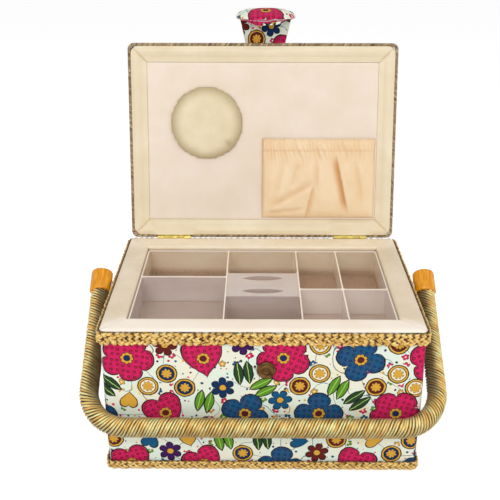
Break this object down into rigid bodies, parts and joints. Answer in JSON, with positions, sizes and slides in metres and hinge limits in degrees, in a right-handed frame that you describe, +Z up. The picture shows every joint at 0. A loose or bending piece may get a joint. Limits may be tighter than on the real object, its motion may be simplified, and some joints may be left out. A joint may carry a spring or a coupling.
{
  "type": "sewing basket",
  "caption": "cloth-covered sewing box with a padded hinged lid, pincushion, gathered pocket, lift-out tray, snap flap and wound swing handle",
  "frame": {"origin": "centre of the base's underside, on the surface that the basket stands on", "axes": "+Z up, +X to the right seen from the front, +Y towards the hinges"},
  "size_m": [0.357, 0.3179, 0.3965],
  "materials": {
    "print_fabric": "printed cotton with a plain weave",
    "satin": "cream satin with a soft sheen",
    "pocket_cloth": "thin gathered satin",
    "elastic": "woven elastic",
    "card": "plain card",
    "straw": "plaited dry straw",
    "twine": "wound twine with a dull shine",
    "cord_trim": "mottled brown and gold cord",
    "wood": "plain board",
    "foam": "open foam",
    "orange_cap": "orange plastic with a soft gloss",
    "clear_plastic": "clear moulded plastic, slightly frosted",
    "hinge_brass": "bright brass",
    "snap_bronze": "old bronze",
    "steel": "plain steel"
  },
  "bodies": {
    "basket": {"base_board": "wood", "front_board": "wood", "back_board": "wood", "left_board": "wood", "right_board": "wood", "body_fabric": "print_fabric", "top_braid": "straw", "bottom_braid": "straw", "lining_floor": "satin", "lining_front": "satin", "lining_back": "satin", "lining_left": "satin", "lining_right": "satin", "rim_front": "satin", "rim_back": "satin", "rim_left": "satin", "rim_right": "satin", "tray_ledge_left": "wood", "tray_ledge_right": "wood", "snap_socket": "snap_bronze", "snap_backing": "steel", "hinge_body_leaf_left": "hinge_brass", "hinge_body_leaf_right": "hinge_brass", "hinge_body_screw_left_1": "hinge_brass", "hinge_body_screw_left_2": "hinge_brass", "hinge_body_screw_right_1": "hinge_brass", "hinge_body_screw_right_2": "hinge_brass", "hinge_pin_left": "hinge_brass", "hinge_pin_right": "hinge_brass", "handle_bolt_left": "steel", "handle_bolt_right": "steel", "handle_spacer_left": "steel", "handle_spacer_right": "steel"},
    "lid": {"lid_board": "wood", "lid_foam": "foam", "lid_fabric": "print_fabric", "lid_piping": "cord_trim", "lid_rail_front": "satin", "lid_rail_back": "satin", "lid_rail_left": "satin", "lid_rail_right": "satin", "lid_lining": "satin", "pincushion": "satin", "pincushion_base": "card", "pocket": "pocket_cloth", "pocket_elastic": "elastic", "hinge_lid_leaf_left": "hinge_brass", "hinge_lid_leaf_right": "hinge_brass", "hinge_lid_screw_left_1": "hinge_brass", "hinge_lid_screw_left_2": "hinge_brass", "hinge_lid_screw_right_1": "hinge_brass", "hinge_lid_screw_right_2": "hinge_brass"},
    "handle": {"handle_core": "wood", "handle_winding": "twine", "handle_cap_left": "orange_cap", "handle_cap_right": "orange_cap"},
    "lift_out_tray": {"tray": "clear_plastic"},
    "flap_base": {"tab_root": "print_fabric"},
    "flap_end": {"tab_tip": "print_fabric", "tab_snap_stud": "snap_bronze"}
  },
  "joints": [
    {"name": "lid_hinge", "type": "hinge", "parent": "basket", "child": "lid", "pos_m": [0, 0.1085, 0.1553], "axis": [1, 0, 0], "range_deg": [0, 102.7]},
    {"name": "handle_swing", "type": "hinge", "parent": "basket", "child": "handle", "pos_m": [0, 0, 0.146], "axis": [-1, 0, 0], "range_deg": [0, 170]},
    {"name": "tray_lift", "type": "slide", "parent": "basket", "child": "lift_out_tray", "axis": [0, 0, 1], "range_m": [0, 0.25]},
    {"name": "flap_fold", "type": "hinge", "parent": "lid", "child": "flap_base", "pos_m": [0.003, 0.16813, 0.36533], "axis": [1, 0, 0], "range_deg": [0, 90]},
    {"name": "flap_bend", "type": "hinge", "parent": "flap_base", "child": "flap_end", "pos_m": [0.003, 0.18444, 0.39651], "axis": [-1, 0, 0], "range_deg": [0, 111]}
  ]
}
